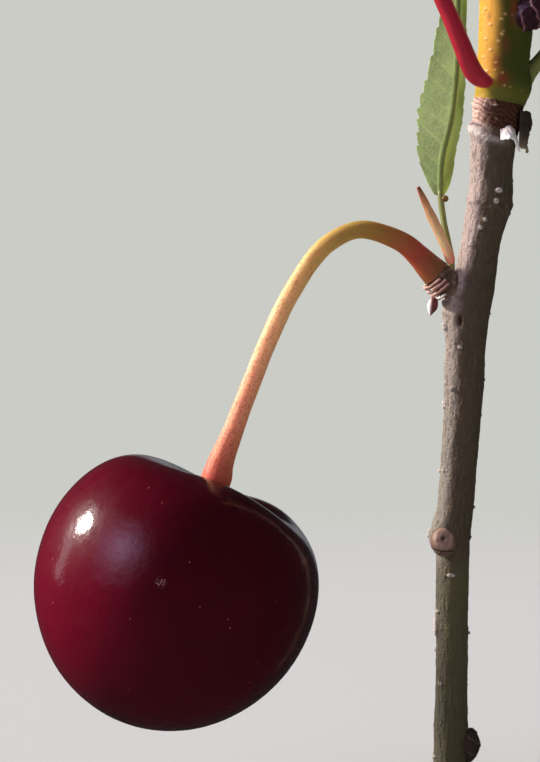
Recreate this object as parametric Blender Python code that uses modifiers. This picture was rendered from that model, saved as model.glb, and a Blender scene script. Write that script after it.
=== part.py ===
"""A sour cherry on its stalk, on a cut length of twig with a spur leaf, leaf stalks and buds.

Metres, +Z up. The origin is the middle of the twig's lower cut face, and the twig rises from it.
Run it with: blender --background --python part.py
"""

import math

import bmesh
import bpy
from mathutils import Vector

MM = 0.001

# Driving dimensions, in millimetres.
JOINT_GAP = 0.12  # between two organs that grew together, about a tenth of the stalk's thickness
FRUIT_RADIUS = 10.04  # half the fruit's width, so that it is about 20 mm across
FRUIT_CENTRE = (-20.02, -8.5, 16.79)
FRUIT_TILT = math.radians(19.9)  # it hangs from a bent stalk, so its axis leans towards the twig
FRUIT_NOD = math.radians(-5)  # and a little backwards
FRUIT_DEPTH = 0.97  # a sour cherry is a little flatter from front to back
CAVITY_DEPTH = 3.1  # of the broad dip between the shoulders, where the stalk goes in
CAVITY_WIDTH = 0.58  # radians from the axis
CAVITY_SQUEEZE = 0.18  # how much narrower the dip is in line with the suture
SUTURE = math.radians(-32)  # the side of the fruit that the suture runs down
NOTCH_DEPTH = 1.88  # of the suture where it cuts through the rim of the dip
NOTCH_PLACE = 0.45  # radians from the axis
NOTCH_LENGTH = 0.42  # radians
NOTCH_WIDTH = 0.62  # radians round the axis
SUTURE_DEPTH = 0.12  # of the suture farther down
TWIG_CUT = 0.0  # height of the twig's lower cut face
RING_HEIGHT = 50.7  # where last year's wood ends and this year's shoot begins
SHOOT_CUT = 59.9  # height of the shoot's upper cut face
LEAF_HALF_WIDTH = 4.5
LEAF_THICKNESS = 0.25
LEAF_BACK = math.radians(101.5)  # the direction in which the folded leaf opens, seen from above
LEAF_FOLD = math.radians(26.5)  # from there to each half of the leaf
LEAF_END_FOLD = math.radians(80)  # the same at its base and tip, where it lies almost flat
SCALE_THICKNESS = 0.16

# Routes: x, y, z and radius in millimetres at the points that a stem passes through.
TWIG = (
    (0.00, 0.18, -1.5, 1.26), (0.00, 0.00, 0.0, 1.26), (0.01, -0.37, 2.9, 1.27), (0.01, -0.75, 5.5, 1.25),
    (0.01, -1.03, 7.5, 1.18),
    (0.00, -1.54, 11.3, 1.15), (-0.02, -2.16, 15.7, 1.19), (-0.03, -2.56, 18.5, 1.21), (-0.17, -2.72, 19.45, 1.42),
    (-0.10, -2.85, 20.4, 1.38), (0.16, -3.10, 22.3, 1.30),
    (0.50, -4.05, 27.9, 1.33), (0.62, -4.52, 30.8, 1.42), (0.70, -5.01, 33.8, 1.47), (0.73, -5.38, 36.0, 1.67),
    (1.05, -5.58, 37.4, 1.60), (1.42, -5.78, 39.1, 1.43), (1.70, -6.03, 41.0, 1.38),
    (2.31, -6.39, 44.0, 1.58), (2.35, -6.60, 45.7, 1.49), (2.49, -6.94, 48.1, 1.62), (2.62, -7.03, 49.1, 1.72),
    (2.74, -7.09, 49.9, 1.71), (2.92, -7.18, 51.0, 1.78), (3.05, -7.27, 52.0, 1.82),
)
SHOOT = (
    (2.74, -7.09, 49.9, 1.71), (2.92, -7.18, 51.0, 1.78), (3.08, -7.30, 52.3, 1.83), (3.17, -7.48, 54.3, 1.82),
    (3.15, -7.66, 56.4, 1.75), (3.12, -7.90, 59.0, 1.69), (3.10, -8.02, 61.0, 1.67),
)
FRUIT_STALK = (
    (-17.55, -7.95, 22.8, 1.05), (-17.08, -8.05, 24.2, 1.08), (-16.83, -8.12, 25.1, 0.94),
    (-16.42, -8.22, 26.2, 0.83), (-15.72, -8.30, 28.0, 0.71), (-14.65, -8.30, 30.8, 0.66), (-13.49, -8.20, 33.7, 0.64),
    (-12.15, -8.00, 36.6, 0.64), (-10.43, -7.80, 39.4, 0.63), (-8.90, -7.60, 40.9, 0.62),
    (-6.82, -7.20, 41.7, 0.63), (-4.19, -6.80, 40.95, 0.71), (-2.82, -6.50, 39.9, 0.81), (-2.03, -6.32, 39.12, 0.95),
    (-1.53, -6.20, 38.64, 1.05),
)
SPUR = (
    (-1.41, -6.16, 38.60, 0.97), (-0.95, -6.06, 38.17, 1.00), (-0.40, -5.93, 37.68, 1.04), (0.60, -5.70, 36.85, 1.06),
)
RED_LEAF_STALK = (
    (2.02, -8.78, 51.84, 0.32), (1.70, -9.08, 51.90, 0.50), (1.36, -9.34, 52.02, 0.60), (0.98, -9.62, 52.26, 0.65),
    (0.58, -9.87, 52.82, 0.66), (-0.03, -10.20, 54.18, 0.62), (-0.69, -10.38, 55.74, 0.59), (-1.43, -10.50, 57.4, 0.57),
    (-2.00, -10.60, 58.8, 0.57),
)
GREEN_LEAF_STALK = (
    (3.60, -7.30, 50.95, 0.78), (4.33, -7.20, 51.85, 0.71), (5.06, -7.00, 52.85, 0.56), (5.80, -6.80, 53.7, 0.46),
    (6.97, -6.50, 55.2, 0.44), (7.60, -6.35, 56.1, 0.44),
)
SPUR_LEAF_STALK = (
    (-0.35, -5.00, 38.5, 0.30), (-0.36, -4.95, 39.8, 0.25), (-0.55, -4.80, 41.0, 0.23), (-0.82, -4.55, 42.4, 0.22),
    (-1.04, -4.28, 44.15, 0.22),
)
LEAF_MIDRIB = (
    (-1.08, -4.20, 44.4), (-0.88, -3.60, 47.1), (-0.24, -3.00, 49.7), (0.08, -2.60, 51.7), (0.35, -2.00, 54.5),
    (0.50, -1.00, 59.0), (0.52, -0.30, 62.2),
)
SPUR_BRACT = (
    (-0.52, -6.95, 39.55), (-0.82, -7.05, 40.3), (-1.37, -7.13, 41.5), (-2.04, -7.25, 42.9), (-2.88, -7.40, 44.7),
)

# Buds and scars: middle, half sizes along x, y and z, and the lean about x and y, in degrees.
BUDS = {
    "dormant_bud_left": ((-0.80, -3.80, 19.40), (0.93, 0.85, 1.08), (0, 0)),
    "dormant_bud_right": ((1.42, -0.85, 4.1), (0.74, 0.78, 1.35), (0, 12)),
    "shoot_bud": ((5.40, -8.75, 57.15), (1.24, 1.12, 2.3), (0, 50)),
    "spur_bud": ((-1.88, -6.95, 36.1), (0.34, 0.32, 0.68), (180, 14)),
}

# Bud scales under the spur: share of the way along it, middle of the arc and its width in degrees, flare.
SPUR_SCALES = (
    (0.07, 22, 110, 0.20), (0.27, 34, 110, 0.26), (0.45, 30, 110, 0.28), (0.63, 5, 100, 0.40),
)

LOOKS = {
    "cherry_skin": ((0.16, 0.004, 0.012), 0.2),
    "stalk_skin": ((0.62, 0.36, 0.12), 0.45),
    "bark": ((0.27, 0.22, 0.19), 0.8),
    "shoot_skin": ((0.50, 0.38, 0.07), 0.35),
    "red_stalk_skin": ((0.40, 0.02, 0.05), 0.4),
    "green_stalk_skin": ((0.20, 0.24, 0.05), 0.5),
    "leaf": ((0.22, 0.34, 0.10), 0.5),
    "bract": ((0.60, 0.28, 0.15), 0.5),
    "bud_scale": ((0.20, 0.09, 0.07), 0.6),
    "dry_scale": ((0.66, 0.58, 0.54), 0.7),
}


def clear_scene():
    for thing in list(bpy.data.objects):
        bpy.data.objects.remove(thing)


def new_collection(name):
    made = bpy.data.collections.new(name)
    bpy.context.scene.collection.children.link(made)
    return made


def principled(name):
    """The material of one of the LOOKS, made once."""
    if name in bpy.data.materials:
        return bpy.data.materials[name]
    colour, roughness = LOOKS[name]
    made = bpy.data.materials.new(name)
    made.use_nodes = True
    shader = made.node_tree.nodes["Principled BSDF"]
    shader.inputs["Base Color"].default_value = (*colour, 1)
    shader.inputs["Roughness"].default_value = roughness
    made.diffuse_color = (*colour, 1)
    return made


def add_part(name, data, look):
    """A named object in the part's collection, with its own look."""
    made = bpy.data.objects.new(name, data)
    data.materials.clear()
    data.materials.append(principled(look))
    PARTS.objects.link(made)
    return made


def smooth_route(route, per_span):
    """Rows along a Catmull-Rom curve that passes through every row of the route."""
    rows = [Vector(row) for row in route]
    rows = [2 * rows[0] - rows[1], *rows, 2 * rows[-1] - rows[-2]]
    found = []
    for before, start, end, after in zip(rows, rows[1:], rows[2:], rows[3:]):
        for step in range(per_span):
            t = step / per_span
            found.append(
                start
                + (end - before) * (t / 2)
                + (2 * before - 5 * start + 4 * end - after) * (t**2 / 2)
                + (3 * start - before - 3 * end + after) * (t**3 / 2)
            )
    return [*found, Vector(route[-1])]


def along(route, share):
    """The row at a share of the way along the route."""
    rows = smooth_route(route, 16)
    place = share * (len(rows) - 1)
    first = min(int(place), len(rows) - 2)
    return rows[first].lerp(rows[first + 1], place - first)


def tube_curve(name, route, per_span, bevel_resolution, extra=0.0):
    """A capped round curve along the route. Its sides number four, and two more for each step of bevel."""
    curve = bpy.data.curves.new(name, "CURVE")
    curve.dimensions = "3D"
    curve.bevel_depth = MM
    curve.bevel_resolution = bevel_resolution
    curve.use_fill_caps = True
    rows = smooth_route(route, per_span)
    spline = curve.splines.new("POLY")
    spline.points.add(len(rows) - 1)
    for point, (x, y, z, radius) in zip(spline.points, rows):
        point.co = (x * MM, y * MM, z * MM, 1)
        point.radius = radius + extra
    return curve


def tube_mesh(name, route, per_span, bevel_resolution, extra=0.0):
    """The same tube as a closed mesh, for a piece that is cut or that cuts."""
    guide = bpy.data.objects.new(name, tube_curve(name, route, per_span, bevel_resolution, extra))
    PARTS.objects.link(guide)
    graph = bpy.context.evaluated_depsgraph_get()
    mesh = bpy.data.meshes.new_from_object(guide.evaluated_get(graph))
    mesh.name = name
    bpy.data.objects.remove(guide)
    edit = bmesh.new()
    edit.from_mesh(mesh)
    bmesh.ops.remove_doubles(edit, verts=edit.verts, dist=0.001 * MM)
    bmesh.ops.recalc_face_normals(edit, faces=edit.faces)
    edit.to_mesh(mesh)
    edit.free()
    mesh.shade_smooth()
    return mesh


def cut_level(mesh, height, keep_above):
    """Cuts a closed mesh with a level plane and closes it there with one flat face."""
    edit = bmesh.new()
    edit.from_mesh(mesh)
    cut = bmesh.ops.bisect_plane(
        edit,
        geom=[*edit.verts, *edit.edges, *edit.faces],
        plane_co=(0, 0, height * MM),
        plane_no=(0, 0, 1),
        clear_inner=keep_above,
        clear_outer=not keep_above,
    )
    rim = [item for item in cut["geom_cut"] if isinstance(item, bmesh.types.BMEdge)]
    bmesh.ops.contextual_create(edit, geom=rim)
    bmesh.ops.recalc_face_normals(edit, faces=edit.faces)
    edit.to_mesh(mesh)
    edit.free()


def cutter(name, mesh):
    """A hidden helper that only cuts."""
    made = bpy.data.objects.new(name, mesh)
    made.hide_render = True
    made.display_type = "WIRE"
    CUTTERS.objects.link(made)
    return made


def cut_by(piece, *helpers):
    for helper in helpers:
        boolean = piece.modifiers.new("clear_of_" + helper.name, "BOOLEAN")
        boolean.operation = "DIFFERENCE"
        boolean.solver = "EXACT"
        boolean.object = helper


def fruit_radius(polar, azimuth):
    """Distance of the skin from the fruit's centre, by the angle from its axis and the side it faces."""
    turn = (azimuth - SUTURE + math.pi) % (2 * math.pi) - math.pi
    dip = math.exp(-((polar / (CAVITY_WIDTH - CAVITY_SQUEEZE * math.cos(turn) ** 2)) ** 2))
    notch = math.exp(-(((polar - NOTCH_PLACE) / NOTCH_LENGTH) ** 2)) * (1 - math.exp(-((polar / 0.2) ** 2)))
    groove = math.exp(-((turn / NOTCH_WIDTH) ** 2))
    return (
        FRUIT_RADIUS
        + 0.09 * math.cos(2 * polar)
        - 0.08 * math.cos(3 * polar)
        + (0.13 * math.sin(polar) + 0.03 * math.sin(2 * polar)) * math.cos(azimuth)
        - CAVITY_DEPTH * dip
        - groove * (NOTCH_DEPTH * notch + SUTURE_DEPTH * math.sin(polar) * (1 - polar / math.pi))
    )


def make_cherry(near_stalk):
    """A ball pushed into the fruit's shape: two shoulders, a dip for the stalk and a shallow suture."""
    mesh = bpy.data.meshes.new("cherry")
    edit = bmesh.new()
    bmesh.ops.create_uvsphere(edit, u_segments=44, v_segments=30, radius=1)
    for vert in edit.verts:
        polar = math.acos(max(-1.0, min(1.0, vert.co.z)))
        azimuth = math.atan2(vert.co.y, vert.co.x)
        vert.co *= fruit_radius(polar, azimuth) * MM
        vert.co.y *= FRUIT_DEPTH
    edit.to_mesh(mesh)
    edit.free()
    mesh.shade_smooth()
    fruit = add_part("cherry", mesh, "cherry_skin")
    fruit.location = Vector(FRUIT_CENTRE) * MM
    fruit.rotation_euler = (FRUIT_NOD, FRUIT_TILT, 0)
    cut_by(fruit, near_stalk)


def make_twig():
    """Last year's wood, cut level at the bottom, and the shoot that carries on from it, cut level at the top."""
    wood = tube_mesh("twig", TWIG, 2, 8)
    cut_level(wood, TWIG_CUT, keep_above=True)
    cut_level(wood, RING_HEIGHT, keep_above=False)
    add_part("twig", wood, "bark")
    green = tube_mesh("new_shoot", SHOOT, 2, 8)
    cut_level(green, RING_HEIGHT + JOINT_GAP, keep_above=True)
    cut_level(green, SHOOT_CUT, keep_above=False)
    add_part("new_shoot", green, "shoot_skin")


def make_stalks(near_twig, near_shoot, near_spur):
    """The fruit's stalk, the spur that bears it and the leaf stalks."""
    add_part("fruit_stalk", tube_curve("fruit_stalk", FRUIT_STALK, 2, 5), "stalk_skin")
    spur = add_part("fruit_spur", tube_mesh("fruit_spur", SPUR, 3, 6), "bud_scale")
    cut_by(spur, near_twig)
    red = add_part("red_leaf_stalk", tube_mesh("red_leaf_stalk", RED_LEAF_STALK, 3, 4), "red_stalk_skin")
    cut_by(red, near_shoot)
    green = add_part("green_leaf_stalk", tube_mesh("green_leaf_stalk", GREEN_LEAF_STALK, 3, 3), "green_stalk_skin")
    cut_by(green, near_shoot)
    thin = add_part("spur_leaf_stalk", tube_mesh("spur_leaf_stalk", SPUR_LEAF_STALK, 3, 3), "green_stalk_skin")
    cut_by(thin, near_spur, near_twig)


def make_buds(near_twig, near_shoot):
    """Egg-shaped buds, narrower towards the tip, each cut to sit against the stem that bears it."""
    stems = {"dormant_bud_left": near_twig, "dormant_bud_right": near_twig, "shoot_bud": near_shoot}
    for name, (middle, half, lean) in BUDS.items():
        mesh = bpy.data.meshes.new(name)
        edit = bmesh.new()
        bmesh.ops.create_uvsphere(edit, u_segments=16, v_segments=10, radius=1)
        for vert in edit.verts:
            narrowing = 1 - 0.35 * max(vert.co.z, 0) ** 2
            vert.co.x *= narrowing * half[0] * MM
            vert.co.y *= narrowing * half[1] * MM
            vert.co.z *= half[2] * MM
        edit.to_mesh(mesh)
        edit.free()
        mesh.shade_smooth()
        bud = add_part(name, mesh, "bud_scale")
        bud.location = Vector(middle) * MM
        bud.rotation_euler = (math.radians(lean[0]), math.radians(lean[1]), 0)
        if name in stems:
            cut_by(bud, stems[name])


def make_sheet(name, across, lengthways, place, thickness, look):
    """A thin curved piece: a grid whose points place(u, v) sets, given a wall. u and v run from 0 to 1."""
    mesh = bpy.data.meshes.new(name)
    edit = bmesh.new()
    bmesh.ops.create_grid(edit, x_segments=across, y_segments=lengthways, size=1)
    for vert in edit.verts:
        vert.co = place((vert.co.x + 1) / 2, (vert.co.y + 1) / 2) * MM
    edit.to_mesh(mesh)
    edit.free()
    sheet = add_part(name, mesh, look)
    wall = sheet.modifiers.new("wall", "SOLIDIFY")
    wall.thickness = thickness * MM
    wall.offset = 0
    return sheet


def leaf_point(u, v):
    """A point of the folded leaf: u crosses it from edge to edge, v runs from its stalk to its tip."""
    rib = along(LEAF_MIDRIB, v)
    side = 2 * u - 1
    flatness = 1 - max(math.sin(math.pi * v), 0.0) ** 0.4
    opening = LEAF_FOLD + (LEAF_END_FOLD - LEAF_FOLD) * flatness
    outline = 0.134 * flatness + max(math.sin(math.pi * v**0.92), 0.0) ** 0.75 * (1 - 0.32 * v)
    half_width = LEAF_HALF_WIDTH * outline * math.sin(LEAF_FOLD) / math.sin(opening)
    fold = LEAF_BACK - math.copysign(opening, side)
    return rib + Vector((math.cos(fold), math.sin(fold), 0)) * (abs(side) * half_width)


def bract_point(u, v):
    """A narrow pointed bract, a little hollow towards the twig."""
    rib = along(SPUR_BRACT, v)
    side = 2 * u - 1
    half_width = 0.06 + 0.24 * (1 - v**6)
    return rib + Vector((side * half_width * 0.9, (side**2 - 0.5) * half_width * 0.5, side * half_width * 0.3))


def make_leaf():
    make_sheet("spur_leaf_blade", 8, 18, leaf_point, LEAF_THICKNESS, "leaf")
    make_sheet("spur_bract", 4, 12, bract_point, 0.18, "bract")


def make_spur_scales():
    """Dry bud scales left round the spur: short curved collars that flare towards the stalk."""
    base, tip = Vector(SPUR[-1][:3]), Vector(SPUR[0][:3])
    axis = (tip - base).normalized()
    level = axis.cross(Vector((0, 1, 0))).normalized()
    upright = axis.cross(level)
    for number, (share, middle, width, flare) in enumerate(SPUR_SCALES, 1):
        row = along(SPUR, share)
        root, radius = row.xyz, row.w

        def place(u, v):
            angle = math.radians(middle + (u - 0.5) * width)
            outward = level * math.cos(angle) + upright * math.sin(angle)
            taper = math.sin(math.pi * (0.15 + 0.7 * u))
            reach = radius + JOINT_GAP + SCALE_THICKNESS / 2 + 0.06 + v * flare * taper
            return root + outward * reach + axis * (v * 0.28 * taper)

        make_sheet(f"spur_scale_{number}", 8, 2, place, SCALE_THICKNESS, "bud_scale")


def make_ring_scales():
    """Two torn scales that hang from the rings where last winter's bud opened: a dark one and a pale one."""

    def dark(u, v):
        turn = math.radians(-38 + 52 * u)
        reach = 1.98 + (0.05 + 0.72 * u) * (0.72 + 0.33 * math.cos(math.pi * (1.55 * v - 0.25)))
        spot = along(TWIG, 0.86).xyz
        return Vector((spot.x + reach * math.cos(turn), spot.y + reach * math.sin(turn), 49.9 - 2.5 * v))

    def pale(u, v):
        turn = math.radians(-79 + 27 * u)
        reach = 2.0 + (0.32 + 0.62 * u) * v
        spot = along(TWIG, 0.82).xyz
        drop = 0.95 + 0.55 * u
        return Vector((spot.x + reach * math.cos(turn), spot.y + reach * math.sin(turn), 48.6 - drop * v))

    make_sheet("ring_scale_dark", 6, 7, dark, SCALE_THICKNESS, "bud_scale")
    make_sheet("ring_scale_pale", 6, 4, pale, SCALE_THICKNESS, "dry_scale")


def main():
    foot, second = (Vector(row) for row in FRUIT_STALK[:2])
    foot.xyz += (foot.xyz - second.xyz).normalized() * JOINT_GAP
    near_stalk = cutter("near_stalk", tube_mesh("near_stalk", (foot, *FRUIT_STALK[1:]), 2, 5, JOINT_GAP))
    near_twig = cutter("near_twig", tube_mesh("near_twig", TWIG, 2, 8, JOINT_GAP))
    near_shoot = cutter("near_shoot", tube_mesh("near_shoot", SHOOT, 2, 8, JOINT_GAP))
    near_spur = cutter("near_spur", tube_mesh("near_spur", SPUR, 3, 6, JOINT_GAP))
    make_cherry(near_stalk)
    make_twig()
    make_stalks(near_twig, near_shoot, near_spur)
    make_buds(near_twig, near_shoot)
    make_leaf()
    make_spur_scales()
    make_ring_scales()


clear_scene()
PARTS = new_collection("sour_cherry_on_twig")
CUTTERS = new_collection("cutters")
main()
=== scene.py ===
"""A ripe sour cherry on a cut length of twig: the looks of each piece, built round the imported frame."""

import math
import random
from functools import partial

import bmesh
import bpy
from bpy.props import FloatProperty, FloatVectorProperty, IntProperty, PointerProperty
from mathutils import Matrix, Vector, noise


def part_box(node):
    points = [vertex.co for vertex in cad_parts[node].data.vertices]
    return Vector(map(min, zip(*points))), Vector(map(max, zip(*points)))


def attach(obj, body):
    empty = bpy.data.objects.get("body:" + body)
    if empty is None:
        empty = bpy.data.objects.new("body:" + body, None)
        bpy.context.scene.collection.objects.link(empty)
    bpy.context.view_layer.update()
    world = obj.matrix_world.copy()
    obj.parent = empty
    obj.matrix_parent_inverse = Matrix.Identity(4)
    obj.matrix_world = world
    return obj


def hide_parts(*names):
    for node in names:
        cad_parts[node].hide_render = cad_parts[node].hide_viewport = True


bl_info = {
    "name": "Sour cherry on a twig",
    "version": (1, 0, 0),
    "blender": (4, 5, 0),
    "location": "View3D > Sidebar > Cherry",
    "description": "Makes a ripe sour cherry on its stalk, with the twig, spur leaf and buds that bear it",
    "category": "Object",
}

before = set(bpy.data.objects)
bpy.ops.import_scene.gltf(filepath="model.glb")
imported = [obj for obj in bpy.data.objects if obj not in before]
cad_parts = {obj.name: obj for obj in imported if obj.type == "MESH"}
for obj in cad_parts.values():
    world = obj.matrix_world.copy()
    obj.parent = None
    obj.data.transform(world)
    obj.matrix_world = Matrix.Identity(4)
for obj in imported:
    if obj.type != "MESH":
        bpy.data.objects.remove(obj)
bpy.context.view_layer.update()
MM = 0.001
TURN = 2 * math.pi
PLANT_IOR = 1.45
WAX_IOR = 1.38
# How far light scatters in a leaf, a leaf stalk or a bract.
THIN_SCATTER = 0.3 * MM

# The stage, in metres.
FLOOR_RADIUS = 0.6
WINDOW_DISTANCE = 0.3

# Routes in millimetres: x, y, z and radius at the points that a stem passes through.
TWIG = (
    (0.00, 0.18, -1.5, 1.26), (0.00, 0.00, 0.0, 1.26), (0.01, -0.37, 2.9, 1.27), (0.01, -0.75, 5.5, 1.25),
    (0.01, -1.03, 7.5, 1.18), (0.00, -1.54, 11.3, 1.15), (-0.02, -2.16, 15.7, 1.19),
    (-0.03, -2.56, 18.5, 1.21), (-0.17, -2.72, 19.45, 1.42), (-0.10, -2.85, 20.4, 1.38),
    (0.16, -3.10, 22.3, 1.30), (0.50, -4.05, 27.9, 1.33), (0.62, -4.52, 30.8, 1.42),
    (0.70, -5.01, 33.8, 1.47), (0.73, -5.38, 36.0, 1.67), (1.05, -5.58, 37.4, 1.60),
    (1.42, -5.78, 39.1, 1.43), (1.70, -6.03, 41.0, 1.38), (2.31, -6.39, 44.0, 1.58),
    (2.35, -6.60, 45.7, 1.49), (2.49, -6.94, 48.1, 1.62), (2.62, -7.03, 49.1, 1.72),
    (2.74, -7.09, 49.9, 1.71), (2.92, -7.18, 51.0, 1.78), (3.05, -7.27, 52.0, 1.82),
)
SHOOT = (
    (2.74, -7.09, 49.9, 1.71), (2.92, -7.18, 51.0, 1.78), (3.08, -7.30, 52.3, 1.83),
    (3.17, -7.48, 54.3, 1.82), (3.15, -7.66, 56.4, 1.75), (3.12, -7.90, 59.0, 1.69),
    (3.10, -8.02, 61.0, 1.67),
)
FRUIT_STALK = (
    (-17.55, -7.95, 22.8, 1.05), (-17.08, -8.05, 24.2, 1.08), (-16.83, -8.12, 25.1, 0.94),
    (-16.42, -8.22, 26.2, 0.83), (-15.72, -8.30, 28.0, 0.71), (-14.65, -8.30, 30.8, 0.66),
    (-13.49, -8.20, 33.7, 0.64), (-12.15, -8.00, 36.6, 0.64), (-10.43, -7.80, 39.4, 0.63),
    (-8.90, -7.60, 40.9, 0.62), (-6.82, -7.20, 41.7, 0.63), (-4.19, -6.80, 40.95, 0.71),
    (-2.82, -6.50, 39.9, 0.81), (-2.03, -6.32, 39.12, 0.95), (-1.53, -6.20, 38.64, 1.05),
)
SPUR = (
    (-1.50, -6.18, 38.66, 0.97), (-0.95, -6.06, 38.17, 1.00), (-0.40, -5.93, 37.68, 1.04),
    (0.60, -5.70, 36.85, 1.06),
)
RED_LEAF_STALK = (
    (2.02, -8.78, 51.84, 0.32), (1.70, -9.08, 51.90, 0.50), (1.36, -9.34, 52.02, 0.60),
    (0.98, -9.62, 52.26, 0.65), (0.58, -9.87, 52.82, 0.66), (-0.03, -10.20, 54.18, 0.62),
    (-0.69, -10.38, 55.74, 0.59), (-1.43, -10.50, 57.4, 0.57), (-2.00, -10.60, 58.8, 0.57),
)
GREEN_LEAF_STALK = (
    (3.60, -7.30, 50.95, 0.78), (4.33, -7.20, 51.85, 0.71), (5.06, -7.00, 52.85, 0.56),
    (5.80, -6.80, 53.7, 0.46), (6.97, -6.50, 55.2, 0.44), (7.60, -6.35, 56.1, 0.44),
)
SPUR_LEAF_STALK = (
    (-0.35, -5.00, 38.5, 0.30), (-0.36, -4.95, 39.8, 0.25), (-0.55, -4.80, 41.0, 0.23),
    (-0.82, -4.55, 42.4, 0.22), (-1.04, -4.28, 44.15, 0.22), (-1.06, -4.20, 44.7, 0.16),
)
LEAF_MIDRIB = (
    (-1.08, -4.20, 44.4), (-0.88, -3.60, 47.1), (-0.24, -3.00, 49.7), (0.08, -2.60, 51.7),
    (0.35, -2.00, 54.5), (0.50, -1.00, 59.0), (0.52, -0.30, 62.2),
)
SPUR_BRACT = (
    (-0.45, -6.90, 39.30), (-0.82, -7.05, 40.3), (-1.37, -7.13, 41.5), (-2.04, -7.25, 42.9),
    (-2.88, -7.40, 44.7),
)

# Pores on the twig: height, degrees round it from +X, width, tallness and paleness. A pit's is below 0.
TWIG_PORES = (
    (44.6, -76, 0.40, 0.30, 1.0), (43.9, -80, 0.30, 0.34, 0.8), (42.5, -98, 0.26, 0.22, 0.9),
    (41.9, -106, 0.26, 0.30, 0.9), (40.7, -124, 0.34, 0.26, 0.9), (35.5, -112, 0.30, 0.62, -0.9),
    (35.0, -160, 0.34, 0.50, 1.0), (33.6, -110, 0.24, 0.20, 1.0), (30.6, -132, 0.26, 0.24, 1.0),
    (29.3, -165, 0.26, 0.62, 0.8), (13.1, -166, 0.34, 1.30, 1.0), (50.35, -103, 0.20, 0.12, 1.0),
    (24.6, -150, 0.30, 0.20, 0.5), (9.0, -140, 0.40, 0.24, 0.4), (17.1, -100, 0.55, 0.20, 0.7),
)
# Warts on the shoot: height and degrees round it from +X.
SHOOT_WARTS = (
    (56.7, -93), (56.35, -101), (55.3, -100), (54.8, -108), (53.7, -150), (57.1, -146), (56.9, -158),
    (56.0, -128), (54.2, -126), (53.3, -112), (58.2, -110), (58.6, -140), (55.0, -142), (52.7, -132),
)
# Swellings on the shoot under its leaf stalks and bud: degrees, width in radians, height, tallness and rise.
SHOOT_SWELLINGS = ((-125, 0.7, 51.7, 0.8, 0.22), (0, 0.7, 51.9, 1.4, 0.30), (-28, 0.7, 55.6, 1.8, 0.30))
# Red-brown patches on the shoot: degrees, width in radians, height, tallness and strength.
SHOOT_BLUSHES = (
    (-70, 0.36, 56.9, 1.6, 0.75), (-96, 0.40, 52.2, 0.8, 0.95), (-112, 0.28, 53.3, 0.8, 0.7),
    (-84, 0.30, 59.4, 1.6, 0.5), (-92, 0.22, 54.6, 1.1, 0.45), (-133, 0.16, 56.6, 0.45, 0.5),
)
# Heights of the old leaf's band, the spur's foot and the broken-off bud on the twig, and of the shoot's foot.
LEAF_BAND, SPUR_FOOT, BROKEN_BUD, SHOOT_FOOT = 43.7, 36.2, 19.5, 51.2
# Torn scales under the spur: x, z, radius, degrees of the middle, degrees of the width and how far it flares.
SPUR_TEARS = (
    (-1.29, 38.49, 0.98, 22, 116, 0.22), (-1.04, 38.25, 0.99, 34, 112, 0.28),
    (-0.80, 38.04, 1.01, 36, 104, 0.30), (-0.57, 37.80, 1.04, 4, 108, 0.50),
)


def linear(hex_colour):
    """An sRGB hex colour as linear red, green, blue and alpha."""
    parts = (int(hex_colour[at : at + 2], 16) / 255 for at in (1, 3, 5))
    return (*(c / 12.92 if c <= 0.04045 else ((c + 0.055) / 1.055) ** 2.4 for c in parts), 1.0)


def length_property(name, description, millimetres):
    return FloatProperty(name=name, description=description, default=millimetres * MM, subtype="DISTANCE")


def colour_property(name, description, hex_colour):
    return FloatVectorProperty(
        name=name, description=description, subtype="COLOR", size=4, min=0, max=1, default=linear(hex_colour)
    )


class FruitSettings(bpy.types.PropertyGroup):
    """The fruit's shape and skin."""

    half_width: length_property("Half width", "Half the fruit's width", 10.04)
    tilt: FloatProperty(
        name="Tilt", description="Lean towards the twig", default=math.radians(19.9), subtype="ANGLE"
    )
    nod: FloatProperty(
        name="Nod", description="Lean to the back", default=math.radians(-5), subtype="ANGLE"
    )
    cavity: length_property("Cavity depth", "Depth of the dip that the stalk goes into", 3.1)
    sunny: colour_property("Sunny skin", "Skin on the side that the sun reaches", "#62021c")
    # Painted shade: this darker skin colour is laid on the side away from the light and towards the bottom.
    painted_shade_skin: colour_property("Ripe skin", "Skin on the shaded side, which is the ripest", "#400210")
    speck: colour_property("Speck", "The tiny pale pores of the skin", "#b8705a")
    gloss: FloatProperty(
        name="Roughness", description="How dull the wax is", default=0.12, min=0, max=1, subtype="FACTOR"
    )


class StemSettings(bpy.types.PropertyGroup):
    """The stalks, twig and shoot."""

    silver: colour_property("Silver bark", "The thin silvery outer bark", "#b3a096")
    # Painted shade: this brown also covers the side away from the light, as well as where the silver has
    # split off.
    brown: colour_property("Brown bark", "The bark where the silver has worn away", "#43382b")
    # This pale colour also paints the highlight on the bark's shoulder below the rings.
    pore: colour_property("Pore", "The corky breathing pores", "#ddd0c6")
    shoot_sunny: colour_property("Sunny shoot", "This year's shoot on its sunny side", "#dca63e")
    shoot_shade: colour_property("Shaded shoot", "This year's shoot on its shaded side", "#454d17")
    shoot_blush: colour_property("Blush", "The red-brown blush between them", "#8a3a26")
    red_stalk: colour_property("Red leaf stalk", "Skin of the red leaf stalk", "#c2263a")
    green_stalk: colour_property("Green leaf stalk", "Skin of the green leaf stalks", "#8d944e")
    relief: length_property("Bark relief", "Depth of the bark's long cracks", 0.035)


class LeafSettings(bpy.types.PropertyGroup):
    """The leaf on the spur."""

    half_width: length_property("Half width", "From midrib to edge", 4.5)
    teeth: IntProperty(name="Teeth", description="Teeth along each edge", default=13, min=4)
    under: colour_property("Underside", "The dull side that faces out of the fold", "#717f50")
    upper: colour_property("Upper side", "The glossy side inside the fold", "#41682b")
    vein: colour_property("Veins", "The midrib and side veins", "#8a9c58")


# Making meshes.


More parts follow.
